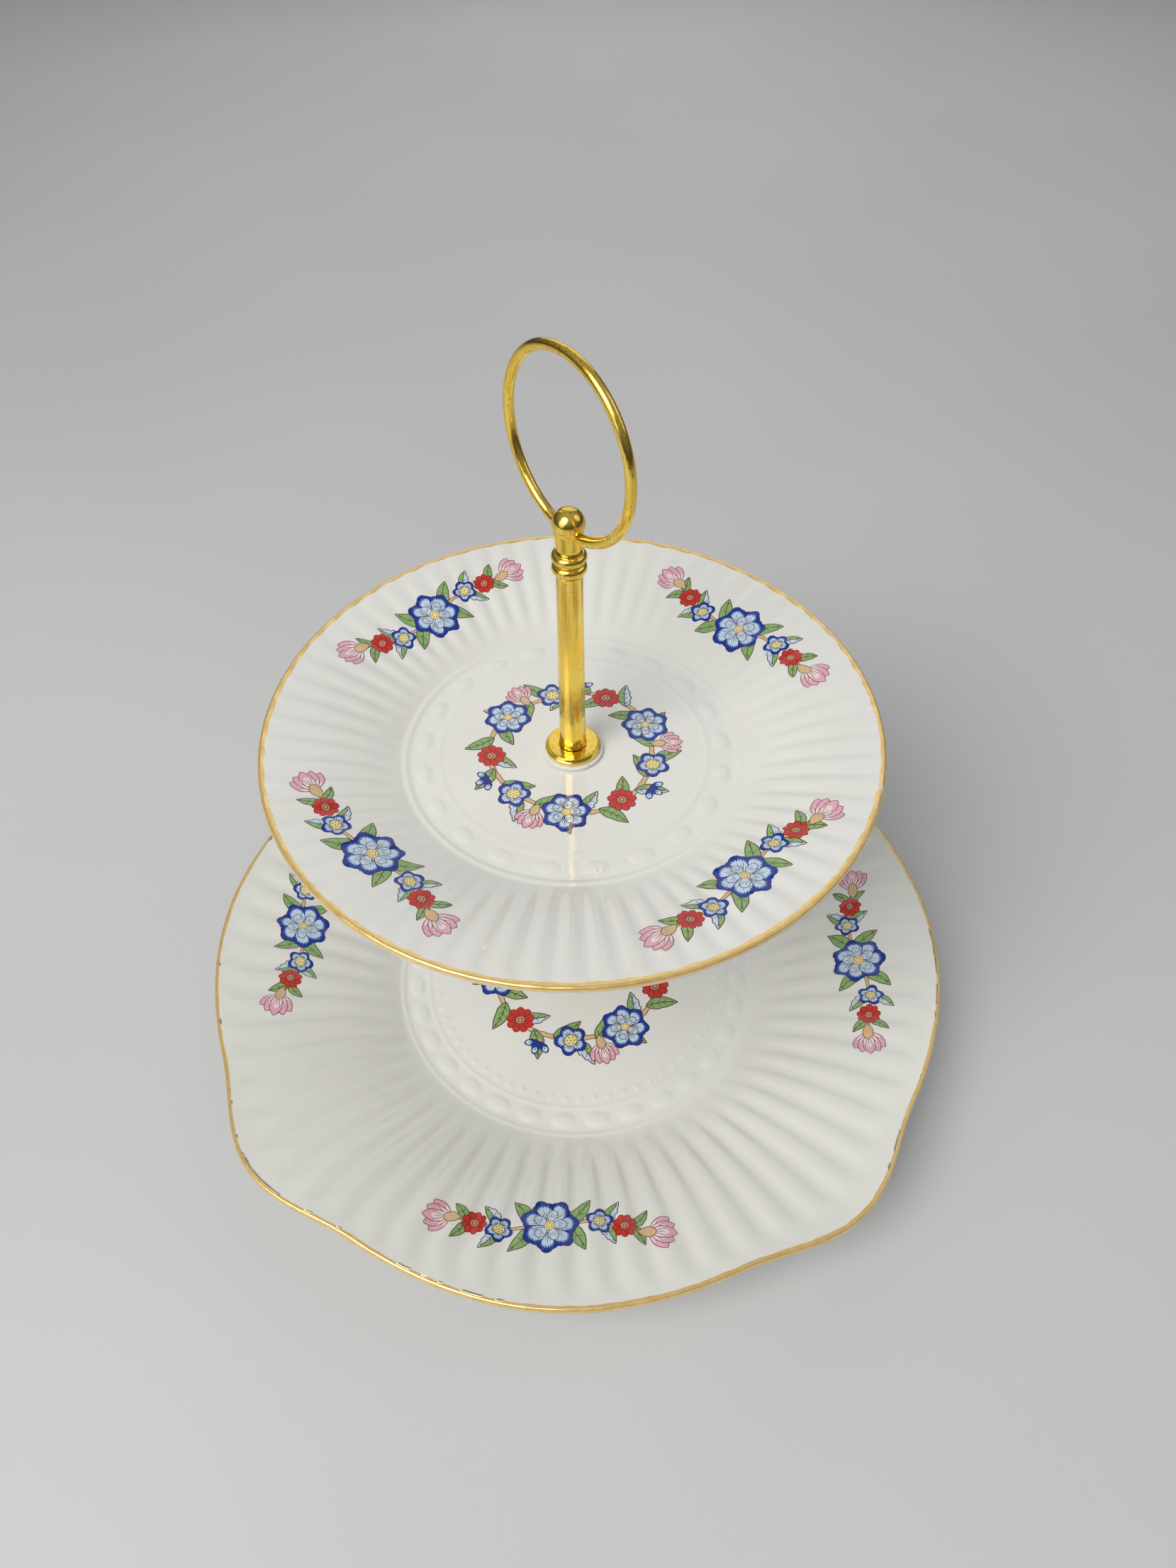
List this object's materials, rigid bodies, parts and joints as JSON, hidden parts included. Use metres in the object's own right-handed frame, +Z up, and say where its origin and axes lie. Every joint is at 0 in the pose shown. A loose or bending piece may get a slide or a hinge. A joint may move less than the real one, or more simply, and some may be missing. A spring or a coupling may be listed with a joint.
{
  "type": "tiered cake stand",
  "caption": "Two-tier cake stand: round fluted china plate above a lobed one, clamped on a gilt post with a ring handle.",
  "frame": {"origin": "on the post's axis, at the plane that the lower plate's foot ring stands on", "axes": "+Z up along the post; the lower plate's wide lobes face +X, -X, +Y and -Y, and -Y is the front"},
  "size_m": [0.2668, 0.2668, 0.2627],
  "materials": {
    "glazed_china": "glossy warm white glaze over a fluted relief, gilt rim line, printed flower sprays",
    "gilt_metal": "bright gold plating over a cast rod, with fine lengthwise streaks",
    "plated_steel": "plain zinc plating",
    "white_plastic": "translucent white nylon, satin"
  },
  "bodies": {
    "lower_plate": {"lower_plate": "glazed_china"},
    "post": {"base_screw": "plated_steel", "base_washer": "plated_steel", "base_pad": "white_plastic", "lower_top_pad": "white_plastic", "lower_disc": "gilt_metal", "lower_column": "gilt_metal", "joining_stud": "plated_steel", "upper_under_disc": "gilt_metal", "upper_under_pad": "white_plastic"},
    "upper_plate": {"upper_plate": "glazed_china", "upper_top_pad": "white_plastic"},
    "top_disc": {"upper_top_disc": "gilt_metal"},
    "handle": {"upper_column": "gilt_metal", "finial": "gilt_metal", "ring_handle": "gilt_metal"}
  },
  "joints": [
    {"name": "post_turn", "type": "hinge", "parent": "lower_plate", "child": "post", "pos_m": [0, 0, 0.008], "axis": [0, 0, 1], "continuous": true},
    {"name": "upper_plate_turn", "type": "hinge", "parent": "post", "child": "upper_plate", "pos_m": [0, 0, 0.134], "axis": [0, 0, 1], "continuous": true},
    {"name": "handle_lift", "type": "slide", "parent": "post", "child": "top_disc", "axis": [0, 0, 1], "range_m": [0, 0.0072]},
    {"name": "handle_unscrew", "type": "hinge", "parent": "top_disc", "child": "handle", "pos_m": [0, 0, 0.138], "axis": [0, 0, 1], "range_deg": [0, 3241]}
  ],
  "couplings": [
    {"joint": "handle_unscrew", "follows": "handle_lift", "rad_per_m": 7854}
  ]
}
